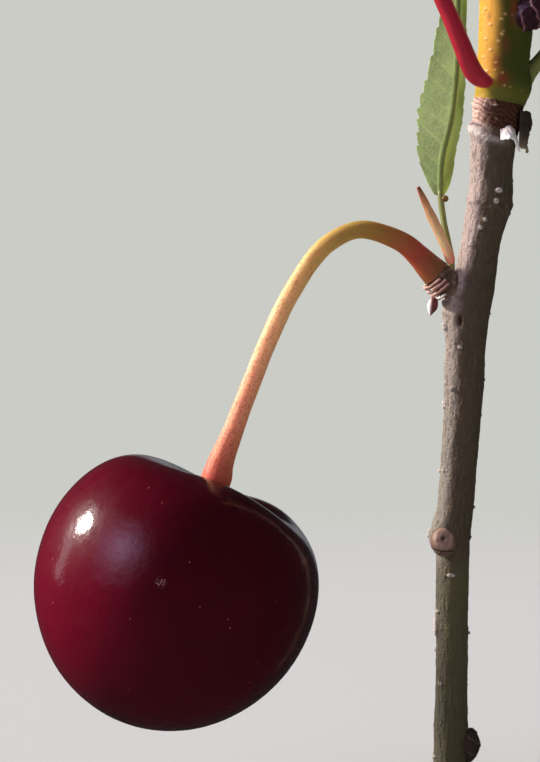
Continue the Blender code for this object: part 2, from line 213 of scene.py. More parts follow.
def smooth_route(route, per_span):
    """Rows along a Catmull-Rom curve that passes through every row of the route."""
    rows = [Vector(row) for row in route]
    rows = [2 * rows[0] - rows[1], *rows, 2 * rows[-1] - rows[-2]]
    found = []
    for before, start, end, after in zip(rows, rows[1:], rows[2:], rows[3:]):
        for step in range(per_span):
            t = step / per_span
            found.append(
                start
                + (end - before) * (t / 2)
                + (2 * before - 5 * start + 4 * end - after) * (t**2 / 2)
                + (3 * start - before - 3 * end + after) * (t**3 / 2)
            )
    return [*found, Vector(route[-1])]


class Stem:
    """A route with a frame at equal steps along it, in millimetres."""

    def __init__(self, route, rings, low=None, high=None):
        rows = smooth_route(route, 24)
        if low is not None:
            rows = [row for row in rows if row.z >= low]
        if high is not None:
            rows = [row for row in rows if row.z <= high]
        lengths = [0.0]
        for row, following in zip(rows, rows[1:]):
            lengths.append(lengths[-1] + (following.xyz - row.xyz).length)
        self.length = lengths[-1]
        self.rings = rings
        self.rows = []
        at = 0
        for ring in range(rings + 1):
            wanted = self.length * ring / rings
            while at < len(rows) - 2 and lengths[at + 1] < wanted:
                at += 1
            share = (wanted - lengths[at]) / max(lengths[at + 1] - lengths[at], 1e-9)
            self.rows.append(rows[at].lerp(rows[at + 1], min(share, 1.0)))
        self.sides = []
        side = Vector((1, 0, 0))
        for ring in range(rings + 1):
            before, after = self.rows[max(ring - 1, 0)].xyz, self.rows[min(ring + 1, rings)].xyz
            along = (after - before).normalized()
            side = (side - along * side.dot(along)).normalized()
            self.sides.append((side, along.cross(side), along))

    def point(self, ring, angle, reach):
        side, back, _ = self.sides[ring]
        return self.rows[ring].xyz + (side * math.cos(angle) + back * math.sin(angle)) * reach


def place_between(rows, share):
    """The point at a share of the way along the rows."""
    way = share * (len(rows) - 1)
    first = min(int(way), len(rows) - 2)
    return rows[first].lerp(rows[first + 1], way - first)


def set_points(mesh, place, marks):
    """Moves each vertex to the point that place gives for it, in millimetres. place also gives the value of
    each of the marks, which are kept on the vertices."""
    layers = [mesh.verts.layers.float.new(mark) for mark in marks]
    for vert in mesh.verts:
        point, *values = place(vert.co)
        vert.co = point * MM
        for layer, value in zip(layers, values):
            vert[layer] = value
    return mesh


def shaped_grid(around, lengthways, size, place, marks):
    """A bmesh grid whose points and marks place(u, v) sets, with its UVs in millimetres."""
    mesh = bmesh.new()
    uv = mesh.loops.layers.uv.new("UVMap")
    bmesh.ops.create_grid(mesh, x_segments=around, y_segments=lengthways, size=0.5, calc_uvs=True)
    for face in mesh.faces:
        for loop in face.loops:
            loop[uv].uv = (loop[uv].uv.x * size[0], loop[uv].uv.y * size[1])
    return set_points(mesh, lambda at: place(at.x + 0.5, at.y + 0.5), marks)


def tube(stem, around, relief, marks):
    """A closed tube along the stem. relief(angle, ring, along) gives the height to add to its radius, and the
    value of each of the marks. Its ends are capped, and the caps have material 1."""

    def place(u, v):
        ring = round(v * stem.rings)
        angle = TURN * u
        height, *values = relief(angle, ring, v * stem.length)
        return stem.point(ring, angle, stem.rows[ring].w + height), *values

    girth = TURN * stem.rows[stem.rings // 2].w
    mesh = shaped_grid(around, stem.rings, (girth, stem.length), place, marks)
    bmesh.ops.remove_doubles(mesh, verts=mesh.verts, dist=0.0001 * MM)
    rims = [edge for edge in mesh.edges if edge.is_boundary]
    caps = bmesh.ops.holes_fill(mesh, edges=rims, sides=0)["faces"]
    inner = bmesh.ops.inset_region(mesh, faces=caps, thickness=0.12 * MM, depth=0)["faces"]
    for face in (*caps, *inner):
        face.material_index = 1
    bmesh.ops.poke(mesh, faces=caps)
    bmesh.ops.recalc_face_normals(mesh, faces=mesh.faces)
    return mesh


def ball(columns, rows, place, marks=()):
    """A closed ball whose points and marks place(direction) sets."""
    mesh = bmesh.new()
    bmesh.ops.create_uvsphere(mesh, u_segments=columns, v_segments=rows, radius=1)
    return set_points(mesh, lambda at: place(at.normalized()), marks)


def add_object(name, data):
    made = bpy.data.objects.new(name, data)
    bpy.context.scene.collection.objects.link(made)
    return made


def add_mesh(name, mesh, materials):
    """Turns the bmesh into an object with those materials."""
    data = bpy.data.meshes.new(name)
    mesh.to_mesh(data)
    mesh.free()
    for material in materials:
        data.materials.append(material)
    return add_object(name, data)


def add_piece(name, mesh, materials, node):
    """Adds a smooth piece that rides on the frame in place of that node."""
    piece = add_mesh(name, mesh, materials)
    piece.data.shade_smooth()
    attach(piece, "root")
    if node:
        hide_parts(node)
    return piece


def add_sheet(name, mesh, materials, node, thickness):
    """Adds a thin piece, as thick as given in millimetres. Its inner side takes the last of the materials."""
    bmesh.ops.recalc_face_normals(mesh, faces=mesh.faces)
    wall = add_piece(name, mesh, materials, node).modifiers.new("wall", "SOLIDIFY")
    wall.thickness = thickness * MM
    wall.offset = 0
    wall.material_offset = len(materials) - 1


def clamped(value):
    """The value, held between 0 and 1."""
    return min(max(value, 0.0), 1.0)


def bump_at(offset, width):
    """A smooth bump that is 1 in the middle and nearly 0 one width away."""
    return math.exp(-((offset / width) ** 2) * 2.5)


def turn_between(angle, middle):
    """The signed angle from middle to angle, within half a turn."""
    return (angle - middle + math.pi) % TURN - math.pi


def facing(angle, degrees, width):
    """A smooth bump on the side of a stem that lies degrees round it, nearly 0 a width in radians away."""
    return bump_at(turn_between(angle, math.radians(degrees)), width)


def ripple(*place):
    """Smooth noise from -1 to 1 at a place in noise cells."""
    return noise.noise(Vector(place))


# Making materials. A pattern's scale is its cells in a metre, so 1000 gives cells a millimetre across.


def add_node(tree, kind, inputs=(), out=0, stops=(), **settings):
    """Adds a node and gives its output out. inputs sets its sockets, in order or by name, each to a value,
    a hex colour or another node's output. stops are the places and colours of a ramp."""
    made = tree.nodes.new("ShaderNode" + kind)
    for name, value in settings.items():
        setattr(made, name, value)
    for name, value in inputs.items() if isinstance(inputs, dict) else enumerate(inputs):
        if isinstance(value, bpy.types.NodeSocket):
            tree.links.new(value, made.inputs[name])
        else:
            made.inputs[name].default_value = linear(value) if isinstance(value, str) else value
    if stops:
        ramp = made.color_ramp.elements
        while len(ramp) < len(stops):
            ramp.new(0.5)
        for element, (position, colour) in zip(ramp, stops):
            element.position = position
            element.color = linear(colour)
    return made.outputs[out]


def new_material(name, **looks):
    """A material with those looks, the function that adds its nodes, and the place on the object."""
    made = bpy.data.materials.new(name)
    made.use_nodes = True
    sockets = made.node_tree.nodes["Principled BSDF"].inputs
    for look, value in {"IOR": PLANT_IOR, **looks}.items():
        sockets[look.replace("_", " ")].default_value = linear(value) if isinstance(value, str) else value
    node = partial(add_node, made.node_tree)
    return made, node, node("TexCoord", out="Object")


def paint(node, colour, *coats):
    """Lays coats over a colour, each a share and a colour. A share may be the name of a mark on the mesh."""
    for share, coat in coats:
        if isinstance(share, str):
            share = node("Attribute", out="Fac", attribute_name=share)
        colour = node("Mix", {0: share, 6: colour, 7: coat}, out=2, data_type="RGBA")
    return colour


def stir(node, share, pattern, amount):
    """A share that a pattern moves up and down by up to half the amount. It may be the name of a mark."""
    if isinstance(share, str):
        share = node("Attribute", out="Fac", attribute_name=share)
    return node("Math", (share, node("Math", (pattern, amount, -amount / 2), operation="MULTIPLY_ADD")))


def finish(made, colour, *reliefs, roughness=None):
    """Gives the material its colour and reliefs, each a pattern, a strength and a depth in millimetres."""
    tree = made.node_tree
    sockets = tree.nodes["Principled BSDF"].inputs
    tree.links.new(colour, sockets["Base Color"])
    if roughness:
        tree.links.new(roughness, sockets["Roughness"])
    below = {}
    for pattern, strength, depth in reliefs:
        bump = {"Strength": strength, "Distance": depth * MM, "Height": pattern}
        below = {"Normal": add_node(tree, "Bump", {**bump, **below})}
    for normal in below.values():
        tree.links.new(normal, sockets["Normal"])
        if sockets["Coat Weight"].default_value:
            tree.links.new(normal, sockets["Coat Normal"])
    return made


def darker(colour, share):
    """A linear colour with a share of its light."""
    return (*(share * part for part in colour[:3]), 1.0)


def waxed_fruit_skin(look):
    """Sour cherry skin: thin, taut and naturally waxed, so it shines, with painted shade that darkens it
    towards the side away from the light and towards the bottom.
    """
    made, node, where = new_material(
        "waxed_fruit_skin", IOR=WAX_IOR, Specular_IOR_Level=0.08,
        Coat_Weight=0.8, Coat_Roughness=look.gloss, Coat_IOR=WAX_IOR,
    )
    low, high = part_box("cherry")
    place = node("SeparateXYZ", (where,)).node.outputs
    # Painted shade: the skin darkens towards the side away from the light over three fifths of the width, and
    # towards the bottom, with blotches 5 mm across.
    start, end = low.x + 0.5 * MM, low.x + 0.62 * (high.x - low.x)
    across = node("MapRange", (place["X"], start, end), interpolation_type="SMOOTHSTEP")
    blotch = node("TexNoise", {"Vector": where, "Scale": 200.0, "Detail": 3.0})
    below = node("MapRange", (place["Z"], low.z + 8 * MM, low.z, 0.0, 0.6))
    painted_shade_and_blotches = node("Math", (across, stir(node, below, blotch, 0.6)), use_clamp=True)
    # Pores 0.1 mm across show as pale specks about a millimetre apart. Three cells in five have one.
    cell, size = 0.95, 0.10
    near = node("TexVoronoi", {"Vector": where, "Scale": 1 / (cell * MM)})
    chance = node("SeparateColor", (near.node.outputs["Color"],))
    round_speck = node("MapRange", (near, 0.35 * size / cell, 0.5 * size / cell, 1.0, 0.0))
    chosen = node("Math", (chance, 0.6), operation="LESS_THAN")
    specks = node("Math", (round_speck, chosen), operation="MULTIPLY")
    # One healed scar, about 1 mm across, on the side that faces out, with cracks that run out from it.
    centre = Vector((-20.46, -17.75, 17.76)) * MM
    away = node("VectorMath", (where, centre), out="Value", operation="DISTANCE")
    flecks = node("TexNoise", {"Vector": where, "Scale": 9000.0, "Detail": 3.0, "Roughness": 0.7})
    limit = node("MapRange", (away, 0.05 * MM, 0.62 * MM, 0.44, 0.62))
    over = node("Math", (flecks, limit), operation="SUBTRACT")
    healed = node("Math", (over, 12.0), operation="MULTIPLY", use_clamp=True)
    within = node("MapRange", (away, 0.35 * MM, 0.6 * MM, 1.0, 0.0))
    scar = node("Math", (healed, within), operation="MULTIPLY")
    skin = paint(node, look.sunny, (painted_shade_and_blotches, look.painted_shade_skin), (specks, look.speck), (scar, "#d9a9a6"))
    # The wax lies a little unevenly, in patches about 1 mm across, under a clear thin film.
    wax = node("TexNoise", {"Vector": where, "Scale": 900.0, "Detail": 5.0, "Roughness": 0.62})
    broad = node("TexNoise", {"Vector": where, "Scale": 330.0, "Detail": 4.0, "Roughness": 0.55})
    dull = node("MapRange", (wax, 0.3, 0.7, 0.30, 0.52))
    return finish(made, skin, (broad, 0.5, 0.16), (wax, 0.45, 0.05), roughness=dull)


def speckled_stalk_skin(length):
    """A young fruit stalk: smooth and waxy, yellow-green by the twig and flushed red-pink by the fruit."""
    made, node, where = new_material(
        "speckled_stalk_skin", Roughness=0.5, Specular_IOR_Level=0.3, Subsurface_Weight=0.85,
        Subsurface_Radius=(1.0, 0.6, 0.35), Subsurface_Scale=0.9 * MM,
    )
    # The UV runs in millimetres along the stalk, from the fruit to the twig.
    run = node("SeparateXYZ", (where.node.outputs["UV"],), out="Y")
    share = node("Math", (run, 1 / length), operation="MULTIPLY")
    drift = node("TexNoise", {"Vector": where, "Scale": 500.0, "Detail": 3.0})
    flush = node(
        "ValToRGB", (stir(node, share, drift, 0.08),),
        stops=((0.0, "#cc4a44"), (0.06, "#e47860"), (0.16, "#f2a680"), (0.30, "#f6bc90"), (0.46, "#f6d096"),
               (0.58, "#e8c680"), (0.68, "#d0b264"), (0.77, "#aa9446"), (0.83, "#a07c3a"), (0.89, "#a4603a"),
               (0.935, "#aa4838"), (0.975, "#84583a"), (1.0, "#6a5236")),
    )
    # Red speckles 0.15 mm across, thick by the fruit and thin by the twig.
    grit = node("TexNoise", {"Vector": where, "Scale": 6500.0, "Detail": 2.0, "Roughness": 0.6})
    limit = node("MapRange", (share, 0.0, 0.6, 0.46, 0.53))
    over = node("Math", (grit, limit), operation="SUBTRACT")
    speckled = node("Math", (over, 4.0), operation="MULTIPLY", use_clamp=True)
    # Painted shade: the side away from the light is painted a darker orange.
    return finish(made, paint(node, flush, (speckled, "#b85c40"), ("away", "#b0602e")), (grit, 0.4, 0.03))


def silver_bark(look):
    """Two-year cherry bark: a thin silvery skin that splits lengthways over brown, with pale corky pores, and
    painted shade that turns it brown on the side away from the light.
    """
    made, node, where = new_material("silver_bark", Roughness=0.68, Specular_IOR_Level=0.25)
    # The skin's fine cracks are about 0.3 mm apart and run two and a half times as far lengthways.
    drawn_out = node("Mapping", {"Vector": where, "Scale": (1.0, 1.0, 0.4)})
    cracks = node("TexNoise", {"Vector": drawn_out, "Scale": 3000.0, "Detail": 5.0, "Roughness": 0.65})
    cloud = node("TexNoise", {"Vector": where, "Scale": 700.0, "Detail": 4.0})
    fleck = node("TexNoise", {"Vector": where, "Scale": 5200.0, "Detail": 3.0, "Roughness": 0.6})
    wander = stir(node, stir(node, "worn", cracks, 0.3), cloud, 0.3)
    height = node("SeparateXYZ", (where,), out="Z")
    bare_and_shaded, turned, old, foot = (
        node("MapRange", values, interpolation_type="SMOOTHSTEP")
        for values in (
            (wander, 0.34, 0.62), (wander, 0.15, 0.6), (height, 42 * MM, 26 * MM),
            (height, 19.2 * MM, 16.5 * MM),
        )
    )
    # The silver is pinker near the young top and greyer lower down; near the foot, painted shade makes the
    # bark darker and greener.
    shadow = node("MapRange", (fleck, 0.55, 0.68, 0.0, 0.45))
    dark_line = node("MapRange", (cracks, 0.36, 0.47, 0.62, 0.0))
    silver = paint(
        node, look.silver, (old, "#8d8578"), (foot, "#5e5a49"), (shadow, "#5a4c44"), (dark_line, "#5b4a42")
    )
    brown = paint(node, look.brown, (cracks, "#675a45"), (foot, "#615b3e"))
    # Painted light and shade: the ring scars are pale cream on the side towards the light and dark brown on
    # the side away from it.
    rings = paint(node, "#e6bca8", (turned, "#54321f"))
    bark = paint(node, silver, (bare_and_shaded, brown), ("ring", rings), ("pore", look.pore), ("pit", "#3c2018"))
    return finish(made, bark, (cracks, 1.0, 0.14), (fleck, 1.0, 0.12))


def glossy_shoot_skin(look):
    """This year's shoot: smooth waxy skin, gold in the sun, blushed red-brown, and green in the shade."""
    made, node, where = new_material(
        "glossy_shoot_skin", Roughness=0.42, Specular_IOR_Level=0.3, Subsurface_Weight=0.35,
        Subsurface_Scale=0.5 * MM,
    )
    drift = node("TexNoise", {"Vector": where, "Scale": 520.0, "Detail": 3.0})
    fine = node("TexNoise", {"Vector": where, "Scale": 2600.0, "Detail": 3.0})
    shaded = node("MapRange", (stir(node, "shade", drift, 0.16), 0.42, 0.74), interpolation_type="SMOOTHSTEP")
    streak = node("MapRange", (drift, 0.45, 0.7, 0.0, 0.5))
    # The band just above the rings is the youngest, and still yellow-green.
    skin = paint(
        node, look.shoot_sunny, (streak, "#b87a24"), (shaded, look.shoot_shade), ("blush", look.shoot_blush),
        ("young", "#8f8c30"), ("wart", "#d8b070"),
    )
    return finish(made, skin, (fine, 0.4, 0.04))


def leaf_side(name, main, vein, roughness):
    """One side of a young leaf, thin enough for the light to come through, with paler veins."""
    made, node, where = new_material(
        name, Roughness=roughness, Specular_IOR_Level=0.12, Subsurface_Weight=0.6,
        Subsurface_Radius=(0.7, 1.0, 0.25), Subsurface_Scale=THIN_SCATTER,
    )
    # The net of the smallest veins has cells of about 0.3 mm.
    net = node("TexVoronoi", {"Vector": where, "Scale": 3300.0}, feature="DISTANCE_TO_EDGE")
    line = node("MapRange", (net, 0.02, 0.14, 0.3, 0.0))
    cloud = node("TexNoise", {"Vector": where, "Scale": 900.0, "Detail": 5.0, "Roughness": 0.65})
    light = node("MapRange", (cloud, 0.34, 0.66))
    ribs = node("Math", (node("Attribute", out="Fac", attribute_name="vein"), 0.4), operation="MULTIPLY")
    # The half that the sun comes through is brighter and yellower.
    leaf = paint(node, darker(main, 0.62), (light, main), (line, vein), (ribs, vein), ("sunlit", "#cfe878"))
    return finish(made, leaf, (cloud, 0.5, 0.05))


def withered_bract():
    """A withering bract: thin and translucent, pink at its foot, pale in the middle and brown at its tip."""
    made, node, where = new_material(
        "withered_bract", Roughness=0.5, Subsurface_Weight=0.5, Subsurface_Scale=THIN_SCATTER
    )
    drift = node("TexNoise", {"Vector": where, "Scale": 1800.0, "Detail": 3.0})
    faded = node(
        "ValToRGB", (stir(node, "reach", drift, 0.3),),
        stops=((0.0, "#e28c70"), (0.15, "#e8ac84"), (0.35, "#e8cc92"), (0.6, "#e0bc82"), (0.85, "#bc8c5c"),
               (1.0, "#885640")),
    )
    return finish(made, paint(node, faded, ("rim", "#b4684c")), (drift, 0.5, 0.04))


def mottled(name, scale, detail, first, second, *coats, relief=None, **looks):
    """A material that drifts between two colours in a noise, under its coats. relief is the noise's own
    strength and depth."""
    made, node, where = new_material(name, **looks)
    drift = node("TexNoise", {"Vector": where, "Scale": scale, "Detail": detail})
    reliefs = [(drift, *relief)] if relief else []
    return finish(made, paint(node, first, (drift, second), *coats), *reliefs)


def cut_wood(name, pale, green):
    """Freshly cut young wood: pale, damp and fine, with green in its grain."""
    return mottled(name, 5000.0, 2.0, pale, green, Roughness=0.6)


def leaf_stalk_skin(name, main, edge, roughness):
    """A leaf stalk: smooth skin with a paler edge along its groove."""
    return mottled(
        name, 900.0, 3.0, main, darker(main, 0.62), ("rim", edge), relief=(0.3, 0.02),
        Roughness=roughness, Subsurface_Weight=0.3, Subsurface_Scale=THIN_SCATTER,
    )


def dry_scale(name, body, edge, roughness=0.6):
    """A dead bud scale: brown and papery, bleached along its torn edge."""
    dark = darker(linear(body), 0.4)
    return mottled(name, 2400.0, 3.0, body, dark, ("rim", edge), relief=(0.6, 0.05), Roughness=roughness)


def swollen_scar():
    """A healed leaf and bud scar: corky, mauve-brown, with a pinker swollen rim, a dark pit and a dark
    painted shadow line.
    """
    return mottled(
        "swollen_leaf_scar", 2200.0, 4.0, "#84685a", "#594338", ("rim", "#a88872"), ("pit", "#3c2a20"),
        relief=(0.6, 0.06), Roughness=0.6,
    )


def pale_floor():
    """Matt pale card that fades into the room far from the twig."""
    made, node, where = new_material("matt_pale_card", Base_Color="#c6c9ca", Roughness=0.9)
    away = node("VectorMath", (where,), out="Value", operation="LENGTH")
    fade = node("MapRange", (away, FLOOR_RADIUS / 6, 0.7 * FLOOR_RADIUS), interpolation_type="SMOOTHSTEP")
    nodes = made.node_tree.nodes
    both = node("MixShader", (fade, nodes["Principled BSDF"].outputs[0], node("BsdfTransparent")))
    made.node_tree.links.new(both, nodes["Material Output"].inputs["Surface"])
    return made


# The pieces.


def fruit_reach(look, polar, azimuth):
    """How far the skin is from the fruit's centre, in millimetres, by the angles from and round its axis."""
    # The fold leaves the stalk towards the front, and bends round to the side as it runs out.
    turn = turn_between(azimuth, math.radians(-6 - 36 * math.exp(-((polar / 0.75) ** 2))))
    dip = math.exp(-((polar / (0.57 - 0.12 * math.cos(turn) ** 2)) ** 2))
    notch = math.exp(-(((polar - 0.45) / 0.35) ** 2)) * (1 - math.exp(-((polar / 0.2) ** 2)))
    groove = math.exp(-((turn / (0.46 + 0.25 * math.exp(-((polar / 0.7) ** 2)))) ** 2))
    return (
        look.half_width / MM
        + 0.09 * math.cos(2 * polar)
        - 0.08 * math.cos(3 * polar)
        + (0.13 * math.sin(polar) + 0.03 * math.sin(2 * polar)) * math.cos(azimuth)
        - look.cavity / MM * dip
        - groove * (1.9 * notch + 0.12 * math.sin(polar) * (1 - polar / math.pi))
    )


class CHERRY_OT_fruit(bpy.types.Operator):
    """Makes the fruit, with two shoulders, the dip for the stalk, a suture and the dry tip of the flower"""

    bl_idname = "cherry.fruit"
    bl_label = "Fruit"

    def execute(self, context):
        look = context.scene.cherry_fruit

        def place(direction):
            polar = math.acos(max(-1.0, min(1.0, direction.z)))
            azimuth = math.atan2(direction.y, direction.x)
            tip = 0.12 * bump_at(math.pi - polar, 0.09)
            lumps = 0.035 * ripple(*(direction * 2.3))
            reach = fruit_reach(look, polar, azimuth) + lumps - tip
            return (Vector((direction.x, direction.y * 0.97, direction.z)) * reach,)

        mesh = ball(220, 160, place)
        turned = Matrix.Rotation(look.tilt, 4, "Y") @ Matrix.Rotation(look.nod, 4, "X")
        bmesh.ops.transform(mesh, matrix=turned, verts=mesh.verts)
        # The fruit sits where its frame node does: the lowest corners of their boxes meet.
        low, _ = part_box("cherry")
        here = Vector(min(vert.co[axis] for vert in mesh.verts) for axis in range(3))
        bmesh.ops.translate(mesh, vec=low - here, verts=mesh.verts)
        add_piece("fruit_skin", mesh, [waxed_fruit_skin(look)], "cherry")
        return {"FINISHED"}


class CHERRY_OT_fruit_stalk(bpy.types.Operator):
    """Makes the long bent stalk of the fruit, flared at both ends"""

    bl_idname = "cherry.fruit_stalk"
    bl_label = "Fruit stalk"

    def execute(self, context):
        stem = Stem(FRUIT_STALK, 420)

        def relief(angle, ring, along):
            lines = 0.012 * ripple(math.cos(angle) * 6, math.sin(angle) * 6, along * 0.35)
            lumps = 0.022 * ripple(math.cos(angle) * 1.5, math.sin(angle) * 1.5, along * 0.9 + 7)
            # The second value is painted shade, strongest on the side away from the light.
            return lines + lumps, 0.12 + 0.12 * math.cos(angle)

        mesh = tube(stem, 72, relief, ("away",))
        skin = speckled_stalk_skin(stem.length)
        add_piece("fruit_stalk_skin", mesh, [skin, skin], "fruit_stalk")
        return {"FINISHED"}


class CHERRY_OT_twig(bpy.types.Operator):
    """Makes last year's wood: silvery bark with pores, and the wrinkled rings at its top"""

    bl_idname = "cherry.twig"
    bl_label = "Twig"

    def execute(self, context):
        look = context.scene.cherry_stems
        low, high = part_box("twig")
        top = high.z / MM
        stem = Stem(TWIG, 860, low=low.z / MM - 0.01, high=top + 0.1)
        chance = random.Random(11)
        pores = [(z, math.radians(a), w, h, p) for z, a, w, h, p in TWIG_PORES]
        for _ in range(70):
            height = chance.uniform(1.5, 47.5)
            pores.append(
                (height, math.radians(chance.uniform(-20, 200)), chance.uniform(0.22, 0.5),
                 chance.uniform(0.12, 0.22), chance.uniform(0.2, 0.9))
            )
        near = [[pore for pore in pores if abs(pore[0] - row.z) < 1.6 * pore[3]] for row in stem.rows]

        def relief(angle, ring, along):
            row = stem.rows[ring]
            z, radius = row.z, row.w
            c, s = math.cos(angle), math.sin(angle)
            grain = ripple(c * 7, s * 7, z * 0.8) + 0.8 * ripple(c * 14, s * 14, z * 2.2)
            height = 1.25 * look.relief / MM * grain + 0.04 * ripple(c * 1.3, s * 1.3, z * 0.4)
            pale = dark = 0.0
            for at, middle, width, tall, tone in near[ring]:
                across = turn_between(angle, middle) * radius
                spot = min(1.0, 2.2 * bump_at(across, width * 0.72) * bump_at(z - at, tall * 0.72))
                slit = bump_at(across, width * 0.5) * bump_at(z - at, tall * 0.2)
                height += 0.24 * abs(tone) * (spot - 0.4 * slit) if tone > 0 else -0.22 * spot
                pale = max(pale, tone * (spot**2 * 1.2 - 0.35 * slit))
                dark = max(dark, slit * 0.6, -tone * spot)
            # Ring scars: fine wrinkles that slant down towards the front, crowded under the new shoot.
            left = facing(angle, 195, 2.1)
            border = top - 1.75 + 0.33 * s - 0.25 * c
            inside = clamped((z - border) / 0.3)
            slant = z + 0.75 * math.cos(angle + math.radians(8)) + 0.2 * ripple(c * 1.8, s * 1.8, z * 1.3)
            wrinkle = abs(math.sin(slant * math.pi / 0.36 + 1.6 * ripple(c * 3, s * 3, z * 2)))
            depth = 0.07 + 0.13 * abs(ripple(c * 2.4 + 5, s * 2.4, z * 1.6))
            height += inside * (depth * wrinkle - 0.07 + 0.05 * ripple(c * 6, s * 6, z * 4))
            height += left * 0.15 * bump_at(z - (top - 0.45), 0.5)
            height -= left * 0.08 * bump_at(z - (border + 0.15), 0.3)
            # Painted shade: the wrinkles' troughs are painted dark.
            dark = max(dark, inside * (1 - wrinkle) ** 2 * 0.9)
            # The bark's torn upper edge stands up as a shoulder below the rings, highest on one side.
            lip = bump_at(z - (border - 0.55 + 0.1 * ripple(c * 3, s * 3, 2)), 0.5)
            height += lip * (0.03 + 0.21 * left) + 0.07 * lip * ripple(c * 9, s * 9, z * 5)
            crack = bump_at(z - (border - 0.2 + 0.22 * ripple(c * 2.5, s * 2.5, 9)), 0.1) * left
            height -= 0.08 * crack
            dark = max(dark, 0.85 * crack)
            # A knobbly band where a leaf was, and wrinkles under the spur's foot.
            band = bump_at(z - (LEAF_BAND + 0.25 * s + 0.2 * ripple(c * 2, s * 2, 3)), 0.45)
            height += band * (0.10 + 0.16 * ripple(c * 4, s * 4, z * 3))
            fold = facing(angle, 180, 0.9) * bump_at(z - SPUR_FOOT, 1.0)
            height += fold * (0.06 + 0.09 * math.sin(z * 12 + 4 * ripple(c * 3, s * 3, z)))
            # The bark swells into a cushion above the broken-off bud.
            above = z - BROKEN_BUD
            cushion = math.exp(-((above / (1.3 if above > 0 else 0.45)) ** 2))
            height += 0.22 * facing(angle, 205, 1.3) * cushion
            # Painted shade with real wear: the silver gives way to brown towards the side away from the
            # light.
            worn = 0.5 + 0.52 * math.cos(angle + math.radians(28))
            # Painted highlight: the shoulder is painted pale on the side towards the light.
            pale = max(pale, left * lip**2 * (0.85 + 0.6 * ripple(c * 8, s * 8, z * 4)))
            return height, worn, clamped(pale), clamped(dark), inside

        mesh = tube(stem, 112, relief, ("worn", "pore", "pit", "ring"))
        cut = cut_wood("cut_twig_wood", "#d8c79a", "#b9b27a")
        add_piece("twig_bark", mesh, [silver_bark(look), cut], "twig")
        return {"FINISHED"}


class CHERRY_OT_shoot(bpy.types.Operator):
    """Makes this year's shoot, with its warts and the swellings that bear its leaf stalks"""

    bl_idname = "cherry.shoot"
    bl_label = "New shoot"

    def execute(self, context):
        look = context.scene.cherry_stems
        low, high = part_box("new_shoot")
        stem = Stem(SHOOT, 200, low=low.z / MM - 0.14, high=high.z / MM + 0.01)
        chance = random.Random(5)
        warts = [(z, math.radians(a), chance.uniform(0.08, 0.12)) for z, a in SHOOT_WARTS]
        for _ in range(50):
            warts.append(
                (chance.uniform(51.6, 59.6), math.radians(chance.uniform(0, 360)), chance.uniform(0.05, 0.09))
            )

        def relief(angle, ring, along):
            row = stem.rows[ring]
            z, radius = row.z, row.w
            c, s = math.cos(angle), math.sin(angle)
            height = 0.03 * ripple(c * 1.2, s * 1.2, z * 0.5) + 0.01 * ripple(c * 6, s * 6, z * 0.6)
            wart = 0.0
            for at, middle, size in warts:
                if abs(z - at) < 2 * size:
                    off = math.hypot(turn_between(angle, middle) * radius, z - at)
                    wart = max(wart, bump_at(off, size * 1.2))
            height += 0.08 * wart
            for middle, wide, at, tall, rise in SHOOT_SWELLINGS:
                height += rise * facing(angle, middle, wide) * bump_at(z - at, tall)
            height += 0.05 * bump_at(z - SHOOT_FOOT, 0.5) * ripple(c * 3, s * 3, z * 2)
            # Gold reaches farther round above than by the rings.
            shade = 0.5 + 0.5 * math.cos(angle + math.radians(28)) + 0.12 * bump_at(z - 51.1, 1.0)
            blush = max(
                most * facing(angle, middle, wide) * bump_at(z - at, tall)
                for middle, wide, at, tall, most in SHOOT_BLUSHES
            )
            young = 0.75 * bump_at(z - SHOOT_FOOT, 1.1) * (1 - 0.6 * min(shade, 1.0))
            return height, min(shade, 1.0), blush, wart, young

        mesh = tube(stem, 112, relief, ("shade", "blush", "wart", "young"))
        cut = cut_wood("cut_shoot_pith", "#c8d08e", "#9db05a")
        add_piece("shoot_skin", mesh, [glossy_shoot_skin(look), cut], "new_shoot")
        return {"FINISHED"}


class CHERRY_OT_leaf_stalks(bpy.types.Operator):
    """Makes the red leaf stalk, the green one and the thin one on the spur, each with its groove"""

    bl_idname = "cherry.leaf_stalks"
    bl_label = "Leaf stalks"

    def execute(self, context):
        look = context.scene.cherry_stems
        red = leaf_stalk_skin("red_leaf_stalk_skin", look.red_stalk, "#d98f7c", 0.38)
        green = leaf_stalk_skin("green_leaf_stalk_skin", look.green_stalk, "#9aa05c", 0.45)
        cut = cut_wood("cut_leaf_stalk", "#b8c27e", "#8fa055")
        grooved = (
            ("red_leaf_stalk", RED_LEAF_STALK, red, "red_stalk_skin", 60, 210),
            ("green_leaf_stalk", GREEN_LEAF_STALK, green, "green_stalk_skin", 150, 120),
            ("spur_leaf_stalk", SPUR_LEAF_STALK, green, "green_stalk_skin", 90, 120),
        )
        for node, route, skin, slot, groove, rings in grooved:
            stem = Stem(route, rings)
            middle = math.radians(groove)

            def relief(angle, ring, along):
                radius = stem.rows[ring].w
                off = turn_between(angle, middle)
                dent = bump_at(off, 0.55) * 0.30 * radius
                banks = (bump_at(off - 0.62, 0.28) + bump_at(off + 0.62, 0.28)) * 0.10 * radius
                lumps = 0.02 * radius * ripple(math.cos(angle) * 3, math.sin(angle) * 3, along * 1.5)
                return banks - dent + lumps, min(banks / (0.10 * radius), 1.0) * 0.8

            mesh = tube(stem, 48, relief, ("rim",))
            add_piece(node + "_skin", mesh, [skin, cut], node)
        return {"FINISHED"}


def leaf_spread(look, v):
    """Half the leaf's width at a share of its length, in millimetres, and the half angle of its fold."""
    half_fold = 26.5
    arch = max(math.sin(math.pi * v), 0.0)
    flatness = 1 - arch**0.4
    fold = math.radians(half_fold + 53.5 * flatness)
    outline = 0.134 * flatness + max(math.sin(math.pi * v**0.92), 0.0) ** 0.75 * (1 - 0.32 * v)
    return look.half_width / MM * outline * math.sin(math.radians(half_fold)) / math.sin(fold), fold


